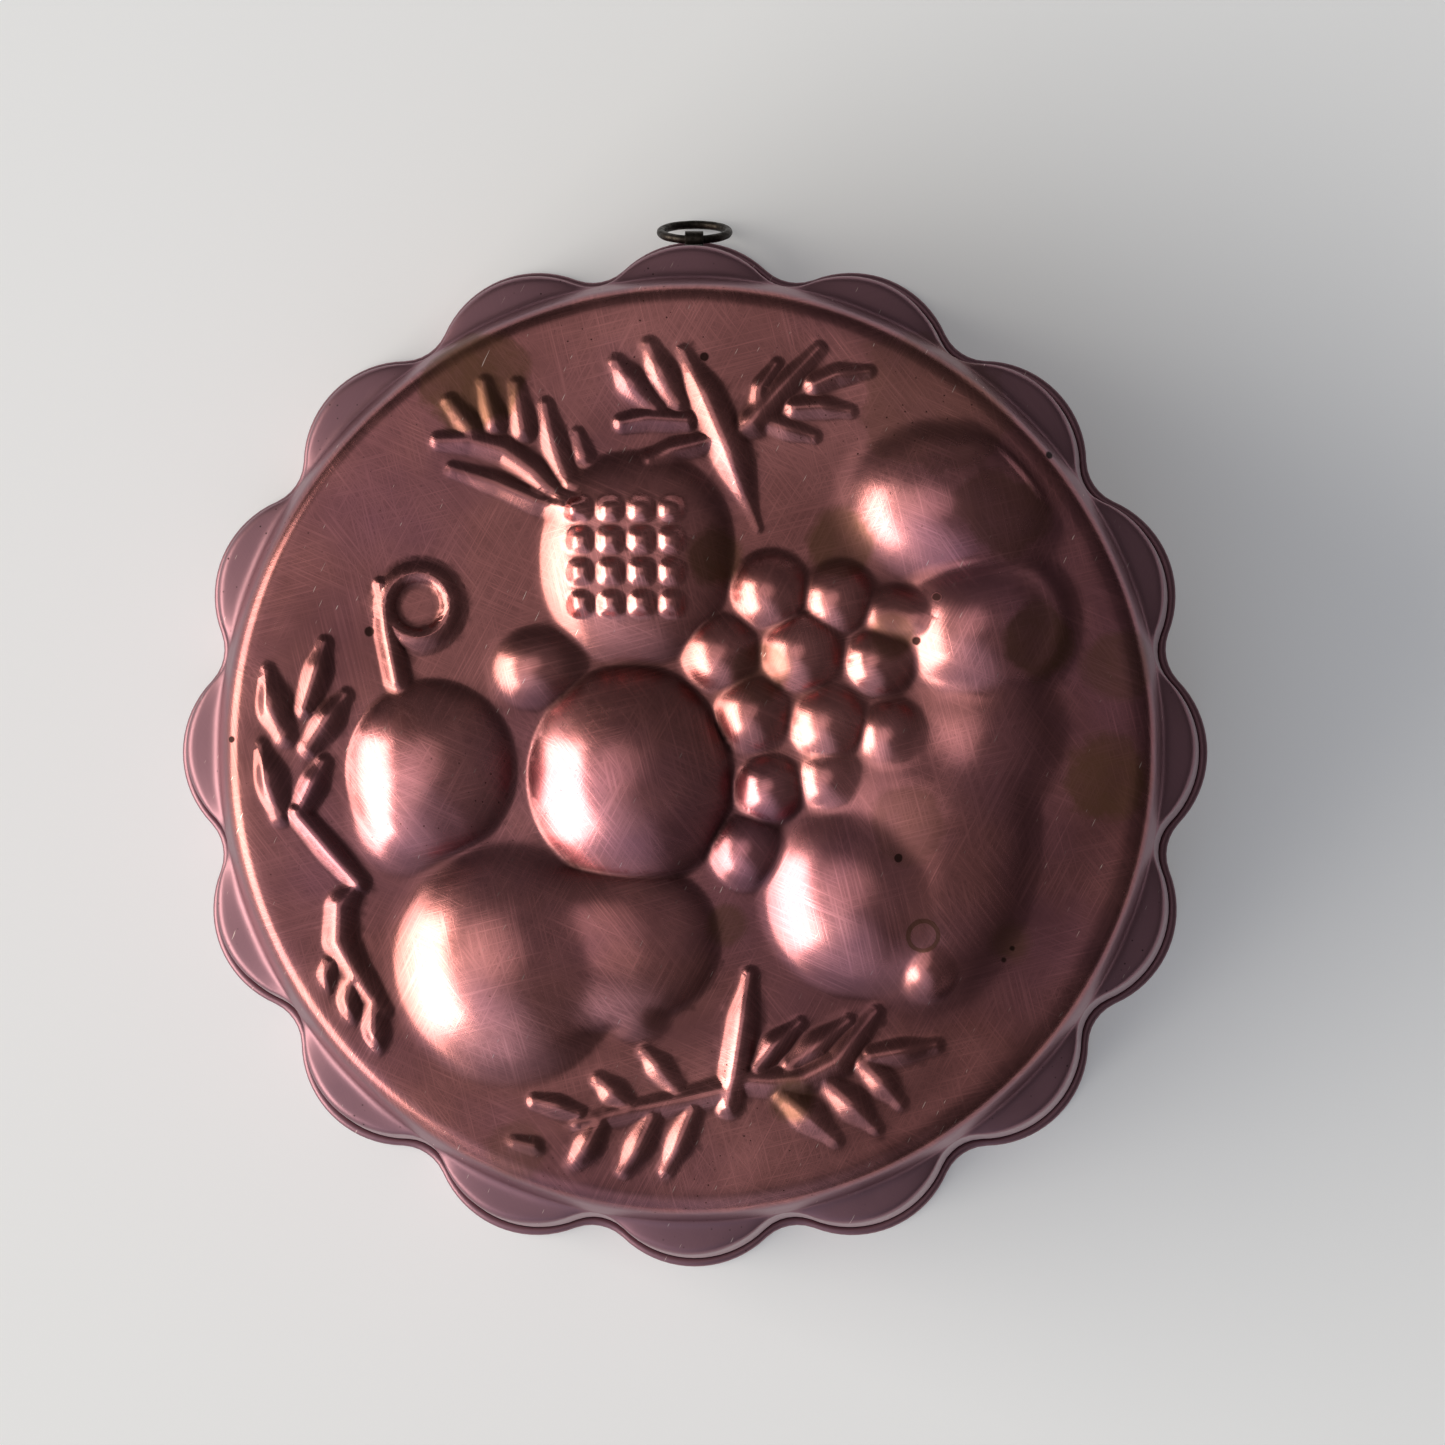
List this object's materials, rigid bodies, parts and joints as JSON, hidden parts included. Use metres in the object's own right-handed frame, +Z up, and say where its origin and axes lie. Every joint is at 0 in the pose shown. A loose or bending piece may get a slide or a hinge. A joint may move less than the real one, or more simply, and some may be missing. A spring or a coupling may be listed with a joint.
{
  "type": "fluted fruit mould",
  "caption": "Round fluted copper mould, closed end up, with fruit pressed up out of its flat top, a rolled wired rim, a tinned inside and a small hanging ring.",
  "frame": {"origin": "on the mould's axis, in the plane of the rim that it stands on", "axes": "+Z up from the rim through the closed embossed end, +Y towards the hanging ring, +X to the right seen from above with the ring at the top"},
  "size_m": [0.1484, 0.1516, 0.0565],
  "materials": {
    "aged_copper": "aged copper, brushed by polishing, with brown tarnish",
    "iron_wire": "drawn, hidden in the rim",
    "tin": "wiped hot-dipped tin, dulled",
    "dark_brass": "blackened",
    "solder": "dull grey tin solder"
  },
  "bodies": {
    "mould": {"copper_shell": "aged_copper", "rim_wire": "iron_wire", "tin_lining": "tin", "hanger_strap": "dark_brass", "strap_solder": "solder"},
    "ring": {"hanging_ring": "dark_brass"}
  },
  "joints": [
    {"name": "ring_swing", "type": "hinge", "parent": "mould", "child": "ring", "pos_m": [0, 0.07278, 0.00954], "axis": [1, 0, 0], "range_deg": [0, 168]}
  ]
}
